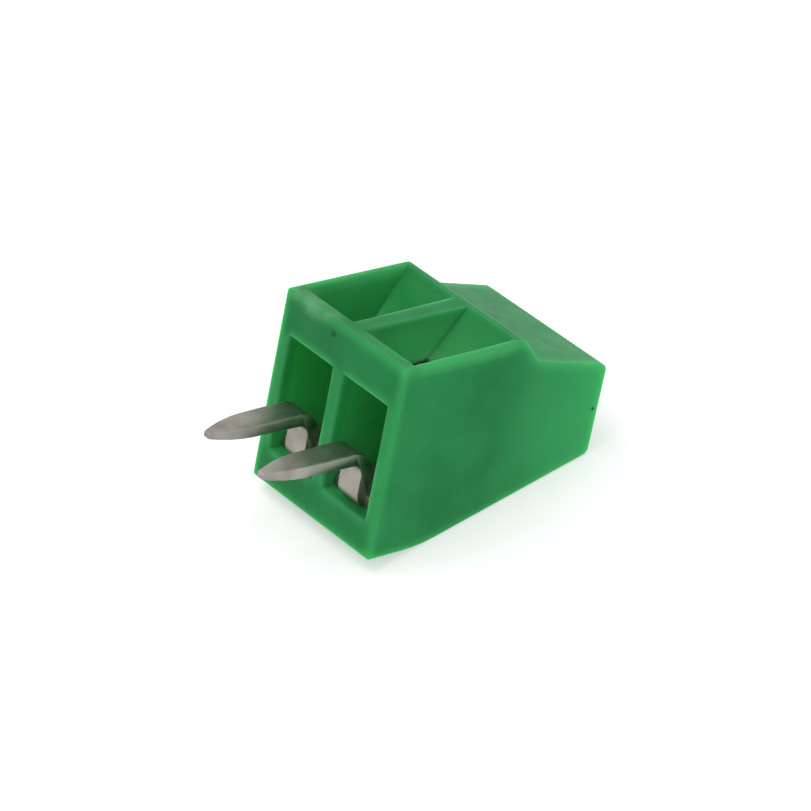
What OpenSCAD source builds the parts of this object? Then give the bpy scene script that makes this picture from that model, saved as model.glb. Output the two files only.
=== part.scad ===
// Two-pole screw terminal for a printed circuit board, 2.54 mm pitch.
// A moulded housing holds one stamped contact, one rising cage and one slotted screw for each pole.
// Turning a screw clockwise lifts its cage and squeezes the wire against the contact's bar.
// Frame: +Z up from the board, +Y from the wire-entry face to the back, +X from pole 1 to pole 2.
// The origin is on the board's surface, midway between the two solder pins.
// Units: millimetres.

/* [Row] */
// centre distance of the two poles
pitch = 2.54; // [2.5:0.01:5.08]
// distance from the wire-entry face back to the row of solder pins
pin_setback = 3.5; // [2.5:0.1:5]

/* [Housing] */
// thickness of each end wall beside its chamber
end_wall = 0.48; // [0.3:0.01:1]
// depth at the board, from the wire-entry face to the back
base_depth = 6.47; // [5.5:0.01:8]
// height of the upright front face
front_height = 4.85; // [4:0.05:6]
// depth of the sloped step above the front face
step_depth = 0.86; // [0.2:0.02:1.5]
// height where the step meets the slanted upper front
step_height = 5.61; // [4.5:0.01:7]
// distance from the front face to the front edge of the top
top_front = 1.58; // [1:0.02:2.5]
// distance from the front face to the back edge of the top
top_back = 4.68; // [4:0.02:6]
// overall height above the board
housing_height = 8.6; // [7:0.1:12]
// height of the short upright part of the back
back_height = 2; // [0.8:0.05:4]
// radius where the upright part of the back turns into the slanted part
back_radius = 5; // [0.2:0.1:5]
// radius of the long outer corners
corner_radius = 0.25; // [0.05:0.01:0.4]

/* [Wire entries] */
// width of the wall between the two funnels at the front face
entry_middle_wall = 0.62; // [0.3:0.02:1]
// width of the wall outside each funnel at the front face
entry_end_wall = 0.26; // [0.15:0.01:0.6]
// height of the lip below each funnel
entry_lip = 0.55; // [0.3:0.05:1]
// height of each funnel's upper edge at the front face
entry_top = 4.58; // [3.5:0.02:5]
// depth of the tapered part of each funnel
funnel_depth = 1.3; // [0.5:0.05:1.3]
// width of the straight throat behind each funnel
throat_width = 1.3; // [1:0.05:1.9]
// height of the throat's floor above the board
throat_bottom = 1.15; // [0.8:0.05:1.5]
// height of the throat's ceiling above the board
throat_top = 3.0; // [2.5:0.05:3.5]

/* [Chambers] */
// thickness of the wall between the two chambers
middle_wall = 0.5; // [0.3:0.01:1]
// distance from the front face to each chamber's front wall
chamber_front = 1.4; // [1.2:0.05:2]
// thickness of the back wall at the board
back_wall = 1.17; // [0.6:0.01:2]
// gap left above the cage when closed
head_room = 0.1; // [0.02:0.01:0.3]
// thickness of the shelf under each screw head
shelf_thickness = 0.35; // [0.2:0.05:0.8]

/* [Contacts] */
// thickness of the stamped strip
strip_thickness = 0.4; // [0.3:0.05:0.6]
// height of the current bar's upper face above the board
bar_top = 3.15; // [2.5:0.05:4]
// clearance between the bar's edges and the inside of the cage, each side
bar_clearance = 0.04; // [0.02:0.01:0.1]
// height of the foot's underside above the board
foot_height = 0.1; // [0.05:0.05:0.5]
// width of the foot and of the solder pin
pin_width = 0.9; // [0.4:0.05:1.2]
// length of the solder pin below the board's surface
pin_length = 3.6; // [2.5:0.1:5]
// length of the pin's curved, tapering end
pin_taper = 1.7; // [0.3:0.1:2.5]
// width of the pin's tip, across the row
tip_width = 0.26; // [0.1:0.02:0.6]
// thickness of the pin's tip
tip_thickness = 0.2; // [0.1:0.05:0.4]
// inner radius of the bends at the top and the bottom of the leg
bend_radius = 0.12; // [0.05:0.01:0.3]
// inner radius of the bend from the foot down into the pin
pin_bend_radius = 0.45; // [0.1:0.05:0.8]

/* [Cages] */
// clearance between the cage and the chamber's side walls, each side
cage_clearance = 0.04; // [0.02:0.01:0.1]
// clearance between the cage and the walls before and behind it
cage_end_clearance = 0.05; // [0.02:0.01:0.1]
// thickness of the cage's floor
cage_floor = 0.35; // [0.2:0.05:0.6]
// thickness of the threaded upper wall
cage_nut = 1.15; // [0.8:0.05:1.5]
// outer corner radius of the cage
cage_radius = 0.3; // [0.1:0.05:0.4]
// gap left between the cage's floor and the bar when closed
closed_gap = 0.1; // [0.02:0.01:0.3]
// distance that the cage travels between closed and open
cage_travel = 1.4; // [0.8:0.1:2]

/* [Screws] */
// outer diameter of the thread
thread_diameter = 1.5; // [1.2:0.02:2]
// radial clearance between the thread and the cage's bore
thread_clearance = 0.02; // [0.01:0.01:0.08]
// clearance between the thread and the cage's side walls
shank_clearance = 0.03; // [0.02:0.01:0.1]
// diameter of the head
head_diameter = 2.0; // [1.6:0.05:3]
// height of the head
head_height = 1.0; // [0.5:0.05:1.5]
// radial clearance around the head and around the shank
screw_clearance = 0.05; // [0.02:0.01:0.1]
// clearance under the head and under the screw's tip
seat_clearance = 0.02; // [0.01:0.01:0.05]
// width of the driver slot
slot_width = 0.4; // [0.25:0.05:0.6]
// depth of the driver slot
slot_depth = 0.5; // [0.3:0.05:0.8]
// chamfer at the head's rim and at the tip
screw_chamfer = 0.12; // [0.05:0.01:0.3]

/* [Hidden] */
$fn = 96;
eps = 0.5;
lap = 0.1;
chamber_width = pitch - middle_wall;
chamber_back = base_depth - back_wall;
housing_width = pitch + chamber_width + 2 * end_wall;
entry_width = (housing_width - entry_middle_wall - 2 * entry_end_wall) / 2;
cage_width = chamber_width - 2 * cage_clearance;
cage_wall = (cage_width - thread_diameter) / 2 - shank_clearance;
cage_front = chamber_front + cage_end_clearance;
leg_front = chamber_back - strip_thickness;
cage_back = leg_front - cage_end_clearance;
screw_y = (cage_front + cage_back) / 2;
bar_bottom = bar_top - strip_thickness;
foot_top = foot_height + strip_thickness;
bar_width = cage_width - 2 * cage_wall - 2 * bar_clearance;
cage_floor_top = bar_bottom - closed_gap;
cage_bottom = cage_floor_top - cage_floor;
nut_bottom = bar_top + closed_gap + cage_travel;
cage_top = nut_bottom + cage_nut;
chamber_height = cage_top + head_room;
shelf_top = chamber_height + shelf_thickness;
head_bottom = shelf_top + seat_clearance;
head_top = head_bottom + head_height;
screw_tip = bar_top + seat_clearance;

// where pole n stands across the row
function pole_x(n) = (n - 1.5) * pitch;

// the unit vector from point a to point b
function unit(a, b) = (b - a) / norm(b - a);

// the sign of the turn at point p of an outline running a, p, b
function turn(a, p, b) = sign((p[0] - a[0]) * (b[1] - p[1]) - (p[1] - a[1]) * (b[0] - p[0]));

// the small area between a corner at p and the arc of radius r that rounds it
module corner_web(a, p, b, r) {
    u = unit(p, a);
    v = unit(p, b);
    half = acos(u * v) / 2;
    middle = unit([0, 0], u + v);
    centre = p + middle * r / sin(half);
    reach = r / tan(half);
    difference() {
        polygon([p - middle * r / 2, p + u * reach, centre, p + v * reach]);
        translate(centre) circle(r);
    }
}

// a polygon, anticlockwise, with each corner rounded to its own radius
module rounded(points, radii) {
    n = len(points);
    difference() {
        union() {
            polygon(points);
            for (i = [0:n - 1]) {
                a = points[(i + n - 1) % n];
                b = points[(i + 1) % n];
                if (radii[i] > 0 && turn(a, points[i], b) < 0) corner_web(a, points[i], b, radii[i]);
            }
        }
        for (i = [0:n - 1]) {
            a = points[(i + n - 1) % n];
            b = points[(i + 1) % n];
            if (radii[i] > 0 && turn(a, points[i], b) > 0) corner_web(a, points[i], b, radii[i]);
        }
    }
}

// stretches a side view, drawn as (depth from the front face, height), across the row
module across(width, x = 0) {
    translate([x - width / 2, -pin_setback, 0]) rotate([90, 0, 90]) linear_extrude(width) children();
}

// a block given by its width about x, its depths from the front face and its heights
module block(x, width, front, back, bottom, top) {
    translate([x - width / 2, front - pin_setback, bottom]) cube([width, back - front, top - bottom]);
}

// the housing's side view
module side_view() {
    rounded(
        [[0, 0], [base_depth, 0], [base_depth, back_height], [top_back, housing_height],
         [top_front, housing_height], [step_depth, step_height], [0, front_height]],
        [0.1, 0.1, back_radius, corner_radius, corner_radius, 0.1, corner_radius]);
}

// the tapered wire entry and its throat, as a solid to cut away
module wire_entry(n) {
    side = sign(pole_x(n));
    x = pole_x(n);
    outer = side * (housing_width / 2 - entry_end_wall);
    inner = side * entry_middle_wall / 2;
    slope_out = (outer - x - side * throat_width / 2) / funnel_depth;
    slope_in = (inner - x + side * throat_width / 2) / funnel_depth;
    slope_up = (entry_top - throat_top) / funnel_depth;
    slope_down = (entry_lip - throat_bottom) / funnel_depth;
    intersection() {
        across(3 * pitch) polygon([
            [-eps, entry_lip + slope_down * eps], [funnel_depth, throat_bottom],
            [funnel_depth, throat_top], [-eps, entry_top + slope_up * eps]]);
        translate([0, -pin_setback, 0]) linear_extrude(3 * pitch) polygon([
            [outer + slope_out * eps, -eps], [x + side * throat_width / 2, funnel_depth],
            [x - side * throat_width / 2, funnel_depth], [inner + slope_in * eps, -eps]]);
    }
    block(x, throat_width, funnel_depth - lap, chamber_front + eps, throat_bottom, throat_top);
}

// the chamber that holds a contact and a cage, as a solid to cut away
module chamber(n) {
    x = pole_x(n);
    block(x, chamber_width, chamber_front, leg_front, -eps, chamber_height);
    block(x, chamber_width, leg_front - eps, chamber_back, -eps, bar_top);
}

// the screw's well above its shelf and the hole through the shelf, as a solid to cut away
module screw_well(n) {
    translate([pole_x(n), screw_y - pin_setback, 0]) {
        translate([0, 0, shelf_top])
            cylinder(h = housing_height + eps - shelf_top, d = head_diameter + 2 * screw_clearance);
        translate([0, 0, chamber_height - eps])
            cylinder(h = shelf_thickness + 2 * eps, d = thread_diameter + 2 * screw_clearance);
    }
}

module housing() {
    color([0.18, 0.50, 0.29]) difference() {
        across(housing_width) side_view();
        for (n = [1, 2]) {
            wire_entry(n);
            chamber(n);
            screw_well(n);
        }
    }
}

// the side view of what is cut from one side of a pin, so that it curves in to its tip
module tip_waste(half, tip_half) {
    inset = half - tip_half;
    radius = (inset * inset + pin_taper * pin_taper) / (2 * inset);
    difference() {
        translate([0, -pin_length - eps]) square([half + eps, pin_taper + eps]);
        translate([half - radius, pin_taper - pin_length]) circle(radius, $fn = 192);
    }
}

// both sides' waste, about the pin's middle
module tip_wastes(half, tip_half) {
    tip_waste(half, tip_half);
    mirror([1, 0]) tip_waste(half, tip_half);
}

// the strip's side view: bar on top, leg down the back wall, foot forward and pin down
module strip_view() {
    outer = bend_radius + strip_thickness;
    pin_front = pin_setback - strip_thickness / 2;
    pin_back = pin_setback + strip_thickness / 2;
    difference() {
        rounded(
            [[pin_front, -pin_length], [pin_back, -pin_length], [pin_back, foot_height],
             [chamber_back, foot_height], [chamber_back, bar_top], [cage_front, bar_top],
             [cage_front, bar_bottom], [leg_front, bar_bottom], [leg_front, foot_top],
             [pin_front, foot_top]],
            [0, 0, pin_bend_radius, outer, outer, 0, 0, bend_radius, bend_radius,
             pin_bend_radius + strip_thickness]);
        translate([pin_setback, 0]) tip_wastes(strip_thickness / 2, tip_thickness / 2);
    }
}

// the strip's widths, kept apart by height
module strip_widths(n) {
    x = pole_x(n);
    between = (foot_top + bar_bottom) / 2;
    block(x, bar_width, 0, leg_front + eps, between, bar_top + eps);
    block(x, chamber_width, leg_front, chamber_back + eps, foot_top, bar_top + eps);
    block(x, pin_width, 0, chamber_back + eps, -pin_length - eps, between);
}

module contact(n) {
    color([0.62, 0.60, 0.56]) difference() {
        intersection() {
            across(chamber_width, pole_x(n)) strip_view();
            strip_widths(n);
        }
        translate([pole_x(n), strip_thickness, 0])
            rotate([90, 0, 0]) linear_extrude(2 * strip_thickness)
                tip_wastes(pin_width / 2, tip_width / 2);
    }
}

module contact_1() {
    contact(1);
}

module contact_2() {
    contact(2);
}

// the cage's front view, about the pole's axis
module cage_view() {
    half = cage_width / 2;
    bore = half - cage_wall;
    difference() {
        rounded(
            [[-half, cage_bottom], [half, cage_bottom], [half, cage_top], [-half, cage_top]],
            [cage_radius, cage_radius, cage_radius, cage_radius]);
        translate([-bore, cage_floor_top]) square([2 * bore, nut_bottom - cage_floor_top]);
    }
}

module cage(n) {
    color([0.66, 0.65, 0.62]) difference() {
        translate([pole_x(n), cage_back - pin_setback, 0])
            rotate([90, 0, 0]) linear_extrude(cage_back - cage_front) cage_view();
        translate([pole_x(n), screw_y - pin_setback, nut_bottom - eps])
            cylinder(h = cage_nut + 2 * eps, d = thread_diameter + 2 * thread_clearance);
    }
}

module cage_1() {
    cage(1);
}

module cage_2() {
    cage(2);
}

module screw(n) {
    shank = thread_diameter / 2;
    head = head_diameter / 2;
    color([0.72, 0.71, 0.68]) translate([pole_x(n), screw_y - pin_setback, 0]) difference() {
        rotate_extrude() polygon([
            [0, screw_tip], [shank - screw_chamfer, screw_tip], [shank, screw_tip + screw_chamfer],
            [shank, head_bottom], [head, head_bottom], [head, head_top - screw_chamfer],
            [head - screw_chamfer, head_top], [0, head_top]]);
        translate([-head - eps, -slot_width / 2, head_top - slot_depth])
            cube([2 * (head + eps), slot_width, slot_depth + eps]);
    }
}

module screw_1() {
    screw(1);
}

module screw_2() {
    screw(2);
}

housing();
contact_1();
contact_2();
cage_1();
cage_2();
screw_1();
screw_2();
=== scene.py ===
import math

import bmesh
import bpy
from mathutils import Matrix, Vector


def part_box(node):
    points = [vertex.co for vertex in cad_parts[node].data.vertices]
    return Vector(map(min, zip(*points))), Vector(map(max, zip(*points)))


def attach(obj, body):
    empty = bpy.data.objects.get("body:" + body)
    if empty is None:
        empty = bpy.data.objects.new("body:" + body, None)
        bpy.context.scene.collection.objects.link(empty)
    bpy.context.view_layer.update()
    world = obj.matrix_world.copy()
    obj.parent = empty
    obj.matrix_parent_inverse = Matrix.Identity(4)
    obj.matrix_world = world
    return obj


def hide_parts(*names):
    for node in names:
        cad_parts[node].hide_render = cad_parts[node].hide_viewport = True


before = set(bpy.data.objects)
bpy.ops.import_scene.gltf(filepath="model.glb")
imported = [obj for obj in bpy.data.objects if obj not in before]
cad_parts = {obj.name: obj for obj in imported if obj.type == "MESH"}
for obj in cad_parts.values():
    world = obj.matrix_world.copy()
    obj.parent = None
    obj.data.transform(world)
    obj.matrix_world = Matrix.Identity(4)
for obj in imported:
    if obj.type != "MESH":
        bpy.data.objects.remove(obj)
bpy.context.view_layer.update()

MM = 0.001
POLES = (1, 2)


# ---------------------------------------------------------------- small helpers

def add(tree, kind, sockets=(), **settings):
    """Adds a node with its settings. Its sockets, in order or by name, take values or links."""
    made = tree.nodes.new(kind)
    for name, value in settings.items():
        setattr(made, name, value)
    for name, value in (sockets if isinstance(sockets, dict) else dict(enumerate(sockets))).items():
        if isinstance(value, bpy.types.Node):
            value = next(output for output in value.outputs if output.enabled)
        if isinstance(value, bpy.types.NodeSocket):
            tree.links.new(value, made.inputs[name])
        else:
            made.inputs[name].default_value = value
    return made


def srgb(code):
    """An sRGB hex colour as linear values."""
    parts = [int(code[i:i + 2], 16) / 255 for i in (1, 3, 5)]
    return [c / 12.92 if c <= 0.04045 else ((c + 0.055) / 1.055) ** 2.4 for c in parts] + [1.0]


def put(name, data):
    """A new object in the scene."""
    thing = bpy.data.objects.new(name, data)
    bpy.context.scene.collection.objects.link(thing)
    return thing


def finished(shape, name):
    """The mesh of a bmesh, which is freed."""
    mesh = bpy.data.meshes.new(name)
    shape.to_mesh(mesh)
    shape.free()
    return mesh


def applied(thing):
    """An object's mesh with its modifiers applied."""
    bpy.context.view_layer.update()
    depsgraph = bpy.context.evaluated_depsgraph_get()
    return bpy.data.meshes.new_from_object(thing.evaluated_get(depsgraph))


# ---------------------------------------------------------------- materials

NOISE, RANGE, MATH = "ShaderNodeTexNoise", "ShaderNodeMapRange", "ShaderNodeMath"


def new_material(name):
    material = bpy.data.materials.new(name)
    material.use_nodes = True
    material.node_tree.nodes.clear()
    return material, material.node_tree


def place_in_mm(tree):
    """The point on the piece, in millimetres from the frame's origin."""
    point = add(tree, "ShaderNodeTexCoord").outputs["Object"]
    return add(tree, "ShaderNodeVectorMath", {0: point, "Scale": 1 / MM}, operation="SCALE")


def mask(tree, *ranges):
    """The product of mapped values, each one given as value, low, high, result low, result high."""
    whole = add(tree, RANGE, ranges[0])
    for row in ranges[1:]:
        whole = add(tree, MATH, (whole, add(tree, RANGE, row)), operation="MULTIPLY")
    return whole


def layered(tree, base, *layers):
    """A base colour under layers, each one given as its mask and its colour."""
    for amount, colour in layers:
        base = add(tree, "ShaderNodeMix", {0: amount, 6: base, 7: srgb(colour)}, data_type="RGBA")
    return base


def from_middle(tree, where, middle, radii):
    """The distance from the middle of an ellipsoid, which is 1 on its surface."""
    mapped = add(tree, "ShaderNodeMapping", {"Vector": where, "Location": middle, "Scale": radii},
                 vector_type="TEXTURE")
    return add(tree, "ShaderNodeVectorMath", (mapped,), operation="LENGTH")


def seen_rays(tree):
    """1 for rays that show a surface: straight, mirrored or through something clear."""
    path = add(tree, "ShaderNodeLightPath").outputs
    seen = path["Is Camera Ray"]
    for kind in ("Is Glossy Ray", "Is Transmission Ray"):
        seen = add(tree, MATH, (seen, path[kind]), operation="ADD")
    return seen


def moulded_polyamide():
    """Injection-moulded green polyamide: satin, cloudy, and light soaks into its thin walls."""
    material, tree = new_material("moulded green polyamide")
    where = place_in_mm(tree)
    x, y, z = add(tree, "ShaderNodeSeparateXYZ", (where,)).outputs
    end = add(tree, MATH, (x,), operation="ABSOLUTE")
    # noises, by the width of their lumps in mm and their detail
    cloud, blotch, sheen, wave, grain = (
        add(tree, NOISE, {"Vector": where, "Scale": 1 / width, "Detail": detail})
        for width, detail in ((2.6, 3), (0.7, 3), (0.8, 3), (1.4, 1), (0.09, 2)))
    buried = add(tree, "ShaderNodeAmbientOcclusion", {"Distance": 0.42 * MM},
                 inside=True, only_local=True, samples=12).outputs["AO"]
    pale_patch = from_middle(tree, where, (-1.6, -3.42, 0.22), (0.85, 0.3, 0.3))
    base = layered(
        tree, srgb("#1F8449"),
        (mask(tree, (cloud, 0.35, 0.65, 0, 1)), "#289252"),
        # the colour deepens a little from one end of the row to the other
        (mask(tree, (x, -2.77, 1.5, 0.45, 0)), "#16713C"),
        # the thin end walls are paler, more so towards the head
        (mask(tree, (end, 2.3, 2.75, 0.25, 1), (z, 4.2, 8.6, 0, 0.85)), "#3BB46A"),
        # the inner walls glow, because light reaches them through the thin plastic
        (mask(tree, (y, -3.4, -1.9, 0.25, 0.85), (end, 2.45, 2.52, 1, 0), (z, 0.05, 0.5, 0, 1),
              (z, 4.6, 4.75, 1, 0), (y, -3.48, -3.3, 0, 1), (y, 1.81, 1.83, 1, 0)), "#3AB45C"),
        # edges and thin rims glow, because light leaves them on two sides
        (mask(tree, (buried, 0.45, 0.95, 0.55, 0)), "#55B174"),
        # a pale patch on the edge below the first wire entry
        (mask(tree, (pale_patch, 0.5, 1.5, 1, 0), (blotch, 0.38, 0.66, 0.2, 0.85)), "#7FB08C"),
        # dark specks trapped in the surface, by place, radius and strength
        *((mask(tree, (from_middle(tree, where, middle, [radius] * 3), 0.5, 1.5, strength, 0)),
           "#123F22")
          for middle, radius, strength in (((-0.46, -3.1, 0), 0.1, 0.7),
                                           ((2.77, -0.45, 8.35), 0.06, 1),
                                           ((-0.4, -2.4, 6.6), 0.12, 0.4))))
    fine = add(tree, "ShaderNodeBump", {"Height": grain, "Strength": 0.12, "Distance": 0.02 * MM})
    relief = add(tree, "ShaderNodeBump", {"Height": wave, "Strength": 0.2, "Distance": 0.05 * MM,
                                          "Normal": fine})
    shader = add(tree, "ShaderNodeBsdfPrincipled", {
        "Base Color": base, "Roughness": mask(tree, (sheen, 0.3, 0.7, 0.36, 0.48)),
        "Normal": relief, "IOR": 1.53, "Specular IOR Level": 0.07, "Subsurface Weight": 1,
        "Subsurface Scale": 1.1 * MM, "Subsurface Radius": (0.3, 1, 0.4)})
    add(tree, "ShaderNodeOutputMaterial", (shader,))
    return material


def plated_metal(name, colours, roughness, grain_mm, stretch, relief, root=None):
    """A plated metal: dull grains stretched along the way it was drawn, rolled or turned."""
    material, tree = new_material(name)
    where = place_in_mm(tree)
    along = add(tree, "ShaderNodeMapping", {"Vector": where, "Scale": stretch})
    grain = add(tree, NOISE, {"Vector": along, "Scale": 1 / grain_mm, "Detail": 3})
    stain = add(tree, NOISE, {"Vector": where, "Scale": 1 / 0.9, "Detail": 2})
    base = layered(tree, srgb(colours[0]), (mask(tree, (stain, 0.4, 0.7, 0, 1)), colours[1]))
    if root:
        # painted shade and painted reflection of the green walls: duller and greener towards the
        # root of the pin, inside the housing's open foot
        x, y, z = add(tree, "ShaderNodeSeparateXYZ", (where,)).outputs
        base = layered(tree, base, (mask(tree, (z, -2.5, -0.2, 0, 0.75), (y, 0.3, 0.55, 1, 0),
                                         (z, 0.4, 0.8, 1, 0.3)), root))
    bump = add(tree, "ShaderNodeBump", {"Height": grain, "Strength": relief, "Distance": 0.01 * MM})
    shader = add(tree, "ShaderNodeBsdfPrincipled", {
        "Base Color": base, "Roughness": mask(tree, (grain, 0.3, 0.7, *roughness)),
        "Normal": bump, "Metallic": 1})
    add(tree, "ShaderNodeOutputMaterial", (shader,))
    return material


polyamide = moulded_polyamide()
# tin-plated brass strip: warm dull grey, with rolling lines along the strip, and painted shade and
# green reflection at the pins' roots
tinned_strip = plated_metal("tin-plated brass strip", ("#A5A199", "#8C887F"), (0.38, 0.55),
                            0.06, (1, 0.25, 0.25), 0.15, root="#5A8061")
# nickel-plated cage: slightly yellow white metal, tumbled smooth
nickel_cage = plated_metal("nickel-plated brass", ("#BDB8AC", "#A8A296"), (0.26, 0.38),
                           0.18, (1, 1, 1), 0.04)
# zinc-plated steel screw: bluish and bright, turned on a lathe
zinc_screw = plated_metal("zinc-plated turned steel", ("#B9BCBE", "#9DA1A4"), (0.22, 0.36),
                          0.05, (0.3, 0.3, 1), 0.06)


# ---------------------------------------------------------------- pieces

# how close points are merged, in a CAD solid and where a turned solid closes on itself
MERGE_DISTANCE = 0.0005 * MM
SEAM_DISTANCE = 0.0001 * MM
# angles between faces, in degrees: what counts as flat, as a rounded edge and as a sharp one
FLAT_ANGLE = 0.4
ROUNDED_TURNS = (45, 130)
SHARP_TURN = 30
# share of the rounding that thin edges get
THIN_WEIGHT = 0.35
# depths, from y to y, of the sharp rims where the funnels meet the throats
THROAT_RIMS = (-2.25 * MM, -2.05 * MM)


def rounded_copy(node, name, material, width_mm, segments, offset="ABSOLUTE", thin=(0, 0)):
    """A copy of a CAD solid as one clean mesh, its outer edges rounded.

    The edges in the thin depths, from y to y, are rounded less.
    """
    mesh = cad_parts[node].data.copy()
    mesh.name = name
    mesh.materials.clear()
    mesh.materials.append(material)
    shape = bmesh.new()
    shape.from_mesh(mesh)
    bmesh.ops.remove_doubles(shape, verts=shape.verts, dist=MERGE_DISTANCE)
    bmesh.ops.dissolve_limit(shape, angle_limit=math.radians(FLAT_ANGLE),
                             verts=shape.verts, edges=shape.edges)
    weights = shape.edges.layers.float.new("bevel_weight_edge")
    for edge in shape.edges:
        turn = math.degrees(edge.calc_face_angle(0))
        if edge.is_convex and ROUNDED_TURNS[0] < turn < ROUNDED_TURNS[1]:
            slight = all(thin[0] < corner.co.y < thin[1] for corner in edge.verts)
            edge[weights] = THIN_WEIGHT if slight else 1.0
        elif turn > SHARP_TURN:
            edge.smooth = False
    for face in shape.faces:
        face.smooth = True
    shape.to_mesh(mesh)
    shape.free()
    piece = put(name, mesh)
    bevel = piece.modifiers.new("moulded edges", "BEVEL")
    bevel.offset_type = offset
    bevel.width = width_mm * MM
    bevel.segments = segments
    bevel.limit_method = "WEIGHT"
    bevel.use_clamp_overlap = False
    bevel.loop_slide = False
    bevel.harden_normals = True
    return piece


def thread_tree():
    """A node tree that winds one pointed ridge up a shank, as a screw thread."""
    tree = bpy.data.node_groups.new("screw thread", "GeometryNodeTree")
    tree.interface.new_socket("Geometry", in_out="OUTPUT", socket_type="NodeSocketGeometry")
    for name, kind in (("Ridge centre radius", "Float"), ("Pitch", "Float"), ("Turns", "Float"),
                       ("Ridge depth", "Float"), ("Half ridge width", "Float"),
                       ("Start height", "Float"), ("Points per turn", "Int"),
                       ("Finish", "Material")):
        tree.interface.new_socket(name, in_out="INPUT", socket_type=f"NodeSocket{kind}")
    given = tree.nodes.new("NodeGroupInput").outputs
    rise = add(tree, MATH, (given["Pitch"], given["Turns"]), operation="MULTIPLY")
    # reversed, the spiral climbs as it turns anticlockwise, which is a right-hand thread
    path = add(tree, "GeometryNodeCurveSpiral", {
        "Resolution": given["Points per turn"], "Rotations": given["Turns"], "Height": rise,
        "Start Radius": given["Ridge centre radius"], "End Radius": given["Ridge centre radius"],
        "Reverse": True})
    upright = add(tree, "GeometryNodeSetCurveNormal", {"Curve": path}, mode="Z_UP")
    ridge = add(tree, "GeometryNodeCurvePrimitiveQuadrilateral", {
        "Width": given["Ridge depth"], "Bottom Height": given["Half ridge width"],
        "Top Height": given["Half ridge width"]}, mode="KITE")
    swept = add(tree, "GeometryNodeCurveToMesh", {
        "Curve": upright, "Profile Curve": ridge, "Fill Caps": True})
    lift = add(tree, "ShaderNodeCombineXYZ", {"Z": given["Start height"]})
    placed = add(tree, "GeometryNodeTransform", {"Geometry": swept, "Translation": lift})
    real = add(tree, "GeometryNodeRealizeInstances", {"Geometry": placed})
    painted = add(tree, "GeometryNodeSetMaterial", {"Geometry": real, "Material": given["Finish"]})
    add(tree, "NodeGroupOutput", (painted,))
    return tree


def made_by(tree, name, values):
    """The plain mesh that a node tree makes from these inputs."""
    maker = put(name, bpy.data.meshes.new(name))
    modifier = maker.modifiers.new(name, "NODES")
    modifier.node_group = tree
    for socket in tree.interface.items_tree:
        if socket.in_out == "INPUT":
            modifier[socket.identifier] = values[socket.name]
    plain = applied(maker)
    bpy.data.objects.remove(maker)
    return plain


def lathe(profile, steps, name):
    """A closed turned body, whose profile of radii and heights runs up from the axis and back."""
    shape = bmesh.new()
    rings = []
    for radius, height in profile:
        turns = [2 * math.pi * i / steps for i in range(steps)] if radius else [0]
        rings.append([shape.verts.new((radius * math.cos(a), radius * math.sin(a), height))
                      for a in turns])
    for low, high in zip(rings, rings[1:]):
        for i in range(steps):
            j = (i + 1) % steps
            if len(low) == 1:
                shape.faces.new((low[0], high[j], high[i]))
            elif len(high) == 1:
                shape.faces.new((low[i], low[j], high[0]))
            else:
                shape.faces.new((low[i], low[j], high[j], high[i]))
    return finished(shape, name)


def rounded_corner(radius, height, size, steps=4):
    """Points of a rounded rim, from the side of a head in to its top."""
    return [(radius - size + size * math.cos(a), height - size + size * math.sin(a))
            for a in (math.pi / 2 * i / steps for i in range(steps + 1))]


HEAD_HEIGHT = 1.0 * MM
HEAD_UNDER_CHAMFER = 0.04 * MM
HEAD_RIM_RADIUS = 0.12 * MM
SLOT_WIDTH = 0.4 * MM
SLOT_DEPTH = 0.5 * MM
WORN_EDGE = 0.025 * MM
SHANK_RADIUS = 0.75 * MM
SHANK_CHAMFER = 0.1 * MM
SHANK_LAP = 0.1 * MM
THREAD_PITCH = 0.35 * MM
THREAD_DEPTH = 0.13 * MM
# how far the ridge's widest line lies inside the core, so that the two solids cross cleanly
RIDGE_SINK = 0.012 * MM


def cheese_head(radius, bottom, top):
    """The screw's head with its driver slot, as a finished mesh."""
    blank = lathe([(0, bottom), (SHANK_RADIUS, bottom), (radius - HEAD_UNDER_CHAMFER, bottom),
                   (radius, bottom + HEAD_UNDER_CHAMFER)]
                  + rounded_corner(radius, top, HEAD_RIM_RADIUS) + [(0, top)], 64, "head")
    blank.materials.append(zinc_screw)
    slot = bmesh.new()
    bmesh.ops.create_cube(slot, size=1, matrix=Matrix.Translation((0, 0, top)) @ Matrix.Diagonal(
        (3 * radius, SLOT_WIDTH, 2 * SLOT_DEPTH, 1)))
    head = put("head", blank)
    cutter = put("slot", finished(slot, "slot"))
    cut = head.modifiers.new("driver slot", "BOOLEAN")
    cut.object = cutter
    cut.solver = "EXACT"
    ease = head.modifiers.new("worn edges", "BEVEL")
    ease.width = WORN_EDGE
    ease.segments = 2
    ease.limit_method = "ANGLE"
    ease.angle_limit = math.radians(50)
    plain = applied(head)
    for thing in (head, cutter):
        bpy.data.objects.remove(thing)
    return plain


def joined(name, meshes):
    """One closed mesh from solid meshes that run into each other."""
    solids = []
    for mesh in meshes:
        shape = bmesh.new()
        shape.from_mesh(mesh)
        bmesh.ops.remove_doubles(shape, verts=shape.verts, dist=SEAM_DISTANCE)
        bmesh.ops.recalc_face_normals(shape, faces=shape.faces)
        solids.append(put(mesh.name, finished(shape, mesh.name)))
    for other in solids[1:]:
        union = solids[0].modifiers.new(other.name, "BOOLEAN")
        union.operation = "UNION"
        union.solver = "EXACT"
        union.object = other
    whole = applied(solids[0])
    whole.name = name
    for solid in solids:
        bpy.data.objects.remove(solid)
    return whole


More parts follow.
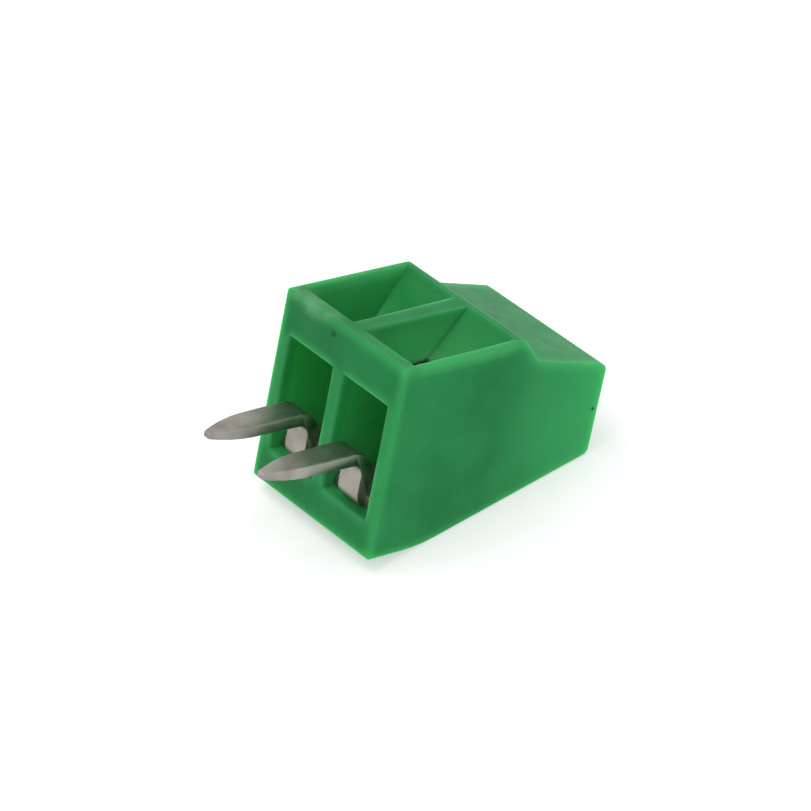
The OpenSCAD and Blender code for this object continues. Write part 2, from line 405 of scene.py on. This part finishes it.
def slotted_screw(pole):
    """A turned screw: slotted cheese head, core and rolled thread, standing at its pole."""
    low, high = (Vector(c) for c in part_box(f"screw_{pole}"))
    centre = (low + high) / 2
    head_bottom = high.z - HEAD_HEIGHT
    core_radius = SHANK_RADIUS - THREAD_DEPTH
    core_top = head_bottom + SHANK_LAP
    core = lathe([(0, low.z), (core_radius - SHANK_CHAMFER, low.z),
                  (core_radius, low.z + SHANK_CHAMFER), (core_radius, core_top), (0, core_top)],
                 48, "core")
    # the thread starts above the tip's chamfer and ends a little below the head
    ridge = made_by(thread_tree(), "thread", {
        "Ridge centre radius": core_radius - RIDGE_SINK, "Pitch": THREAD_PITCH,
        "Turns": (head_bottom - low.z) / THREAD_PITCH - 1.55,
        "Ridge depth": 2 * (THREAD_DEPTH + RIDGE_SINK), "Half ridge width": 0.43 * THREAD_PITCH,
        "Start height": low.z + 0.75 * THREAD_PITCH, "Points per turn": 40, "Finish": zinc_screw})
    head = cheese_head((high.x - low.x) / 2, head_bottom, high.z)
    mesh = joined(f"slotted_screw_{pole}", (core, ridge, head))
    mesh.transform(Matrix.Translation((centre.x, centre.y, 0)))
    for face in mesh.polygons:
        face.use_smooth = True
    mesh.materials.clear()
    mesh.materials.append(zinc_screw)
    mesh.set_sharp_from_angle(angle=math.radians(35))
    return put(mesh.name, mesh)


housing = rounded_copy("housing", "housing_moulding", polyamide, 0.085, 4, "OFFSET", THROAT_RIMS)
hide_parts("housing")
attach(housing, "block")

for pole in POLES:
    strip = rounded_copy(f"contact_{pole}", f"contact_strip_{pole}", tinned_strip, 0.07, 3)
    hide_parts(f"contact_{pole}")
    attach(strip, "block")
    cage = rounded_copy(f"cage_{pole}", f"clamping_cage_{pole}", nickel_cage, 0.04, 2)
    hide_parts(f"cage_{pole}")
    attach(cage, f"cage_{pole}")
    screw = slotted_screw(pole)
    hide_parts(f"screw_{pole}")
    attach(screw, f"screw_{pole}")


# ---------------------------------------------------------------- camera, floor and light

CAMERA_PLACE = Vector((83.579, -63.488, -83.471)) * MM
AWAY = Vector((0.6147, -0.4653, -0.6369)).normalized()
UP = Vector((-0.4612, -0.8671, 0.1883))
UP = (UP - AWAY * UP.dot(AWAY)).normalized()
RIGHT = UP.cross(AWAY)
camera_data = bpy.data.cameras.new("camera")
camera_data.lens = 199.75
camera_data.sensor_width = 36
camera_data.clip_start = 0.01
camera_data.clip_end = 10
camera = put("camera", camera_data)
turned = Matrix((RIGHT, UP, AWAY)).transposed().to_4x4()
camera.matrix_world = Matrix.Translation(CAMERA_PLACE) @ turned
bpy.context.scene.camera = camera

# the block lies on its slanted back, so the table is the plane of that back
BACK_LOW = Vector((0, 2.97, 2)) * MM
BACK_HIGH = Vector((0, 1.18, 8.6)) * MM
ALONG = (BACK_HIGH - BACK_LOW).normalized()
DOWN = Vector((0, ALONG.z, -ALONG.y))
TABLE_HALF_WIDTH = 400 * MM
TABLE_GAP = 0.02 * MM


def light_table():
    """An opal acrylic light table, faintly lit from below, seen from the object's side only."""
    material, tree = new_material("opal acrylic light table")
    glow = add(tree, "ShaderNodeEmission", {
        "Color": (1, 1, 1, 1), "Strength": mask(tree, (seen_rays(tree), 0, 1, 0.3, 0.45))})
    sheet = add(tree, "ShaderNodeBsdfDiffuse", {"Color": (0.85, 0.85, 0.85, 1)})
    lit = add(tree, "ShaderNodeAddShader", (sheet, glow))
    side = add(tree, "ShaderNodeNewGeometry").outputs["Backfacing"]
    both = add(tree, "ShaderNodeMixShader", (side, lit, add(tree, "ShaderNodeBsdfTransparent")))
    add(tree, "ShaderNodeOutputMaterial", (both,))
    return material


def make_floor():
    centre = BACK_LOW + ALONG * 4 * MM + DOWN * TABLE_GAP
    across = Vector((1, 0, 0)) * TABLE_HALF_WIDTH
    corners = [centre + across * a + ALONG * TABLE_HALF_WIDTH * b
               for a, b in ((-1, -1), (1, -1), (1, 1), (-1, 1))]
    mesh = bpy.data.meshes.new("floor")
    mesh.from_pydata(corners, [], [(0, 1, 2, 3)])
    if mesh.polygons[0].normal.dot(DOWN) > 0:
        mesh.flip_normals()
    mesh.materials.append(light_table())
    floor = put("floor", mesh)


def make_world():
    """A white studio: plain white where it is seen, and dimmer as a light."""
    world = bpy.data.worlds.new("white studio")
    world.use_nodes = True
    tree = world.node_tree
    tree.nodes.clear()
    sky = add(tree, "ShaderNodeBackground", {
        "Color": (1, 1, 1, 1), "Strength": mask(tree, (seen_rays(tree), 0, 1, 0.55, 1))})
    add(tree, "ShaderNodeOutputWorld", (sky,))
    bpy.context.scene.world = world


def softbox(name, towards, size_mm, distance_mm, watts):
    """A square lamp that shines on the middle of the block from the direction towards."""
    data = bpy.data.lights.new(name, "AREA")
    data.shape = "SQUARE"
    data.size = size_mm * MM
    data.energy = watts
    middle = Vector((0, 0, 4)) * MM
    facing = Vector(towards).normalized()
    lamp = put(name, data)
    lamp.matrix_world = (Matrix.Translation(middle + facing * distance_mm * MM)
                         @ facing.to_track_quat("Z", "Y").to_matrix().to_4x4())


make_floor()
make_world()
softbox("key lamp", -DOWN + UP * 0.2 - RIGHT * 0.45 + AWAY * 0.25, 90, 130, 0.055)
softbox("side lamp", RIGHT * 0.9 + AWAY * 0.5 + UP * 0.1, 80, 140, 0.012)

bpy.context.scene.view_settings.view_transform = "Standard"
